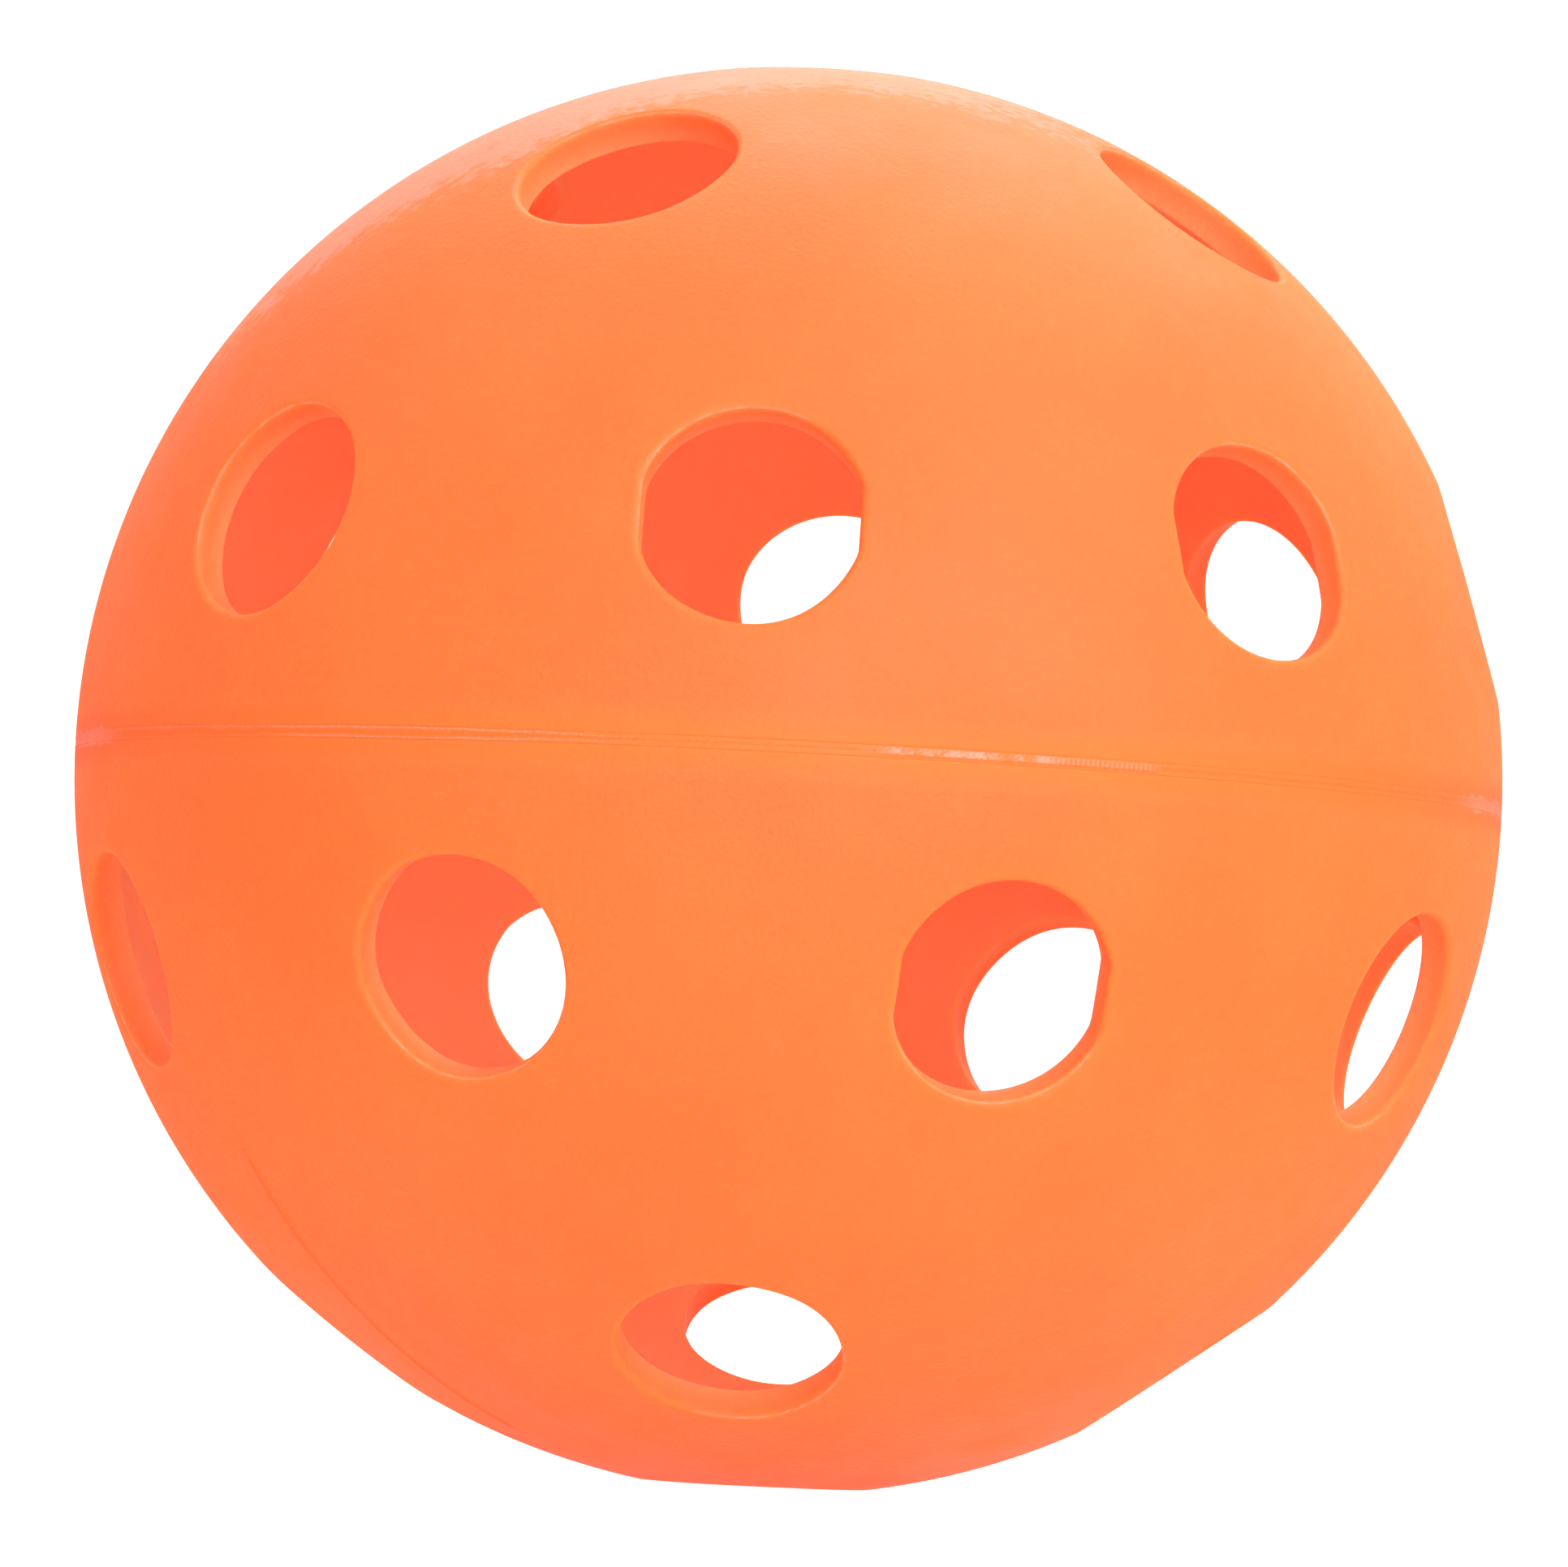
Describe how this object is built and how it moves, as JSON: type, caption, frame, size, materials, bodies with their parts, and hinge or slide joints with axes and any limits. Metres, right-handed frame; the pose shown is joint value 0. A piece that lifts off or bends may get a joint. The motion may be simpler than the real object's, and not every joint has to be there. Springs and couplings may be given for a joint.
{
  "type": "practice golf ball",
  "caption": "Hollow practice golf ball of moulded plastic half shells welded at the equator, with round holes all over so that it flies slowly and lands softly.",
  "frame": {"origin": "centre of the ball, on the weld plane", "axes": "+Z along the polar holes and square to the weld plane; half a turn about X swaps the two half shells"},
  "size_m": [0.0422, 0.0422, 0.0414],
  "materials": {
    "ball_shell": "satin soft polyethylene, slightly translucent",
    "weld_bead": "re-set melted polyethylene, trimmed outside"
  },
  "bodies": {
    "root": {"upper_half_shell": "ball_shell", "lower_half_shell": "ball_shell", "outer_weld_bead": "weld_bead", "inner_weld_bead": "weld_bead"}
  },
  "joints": []
}
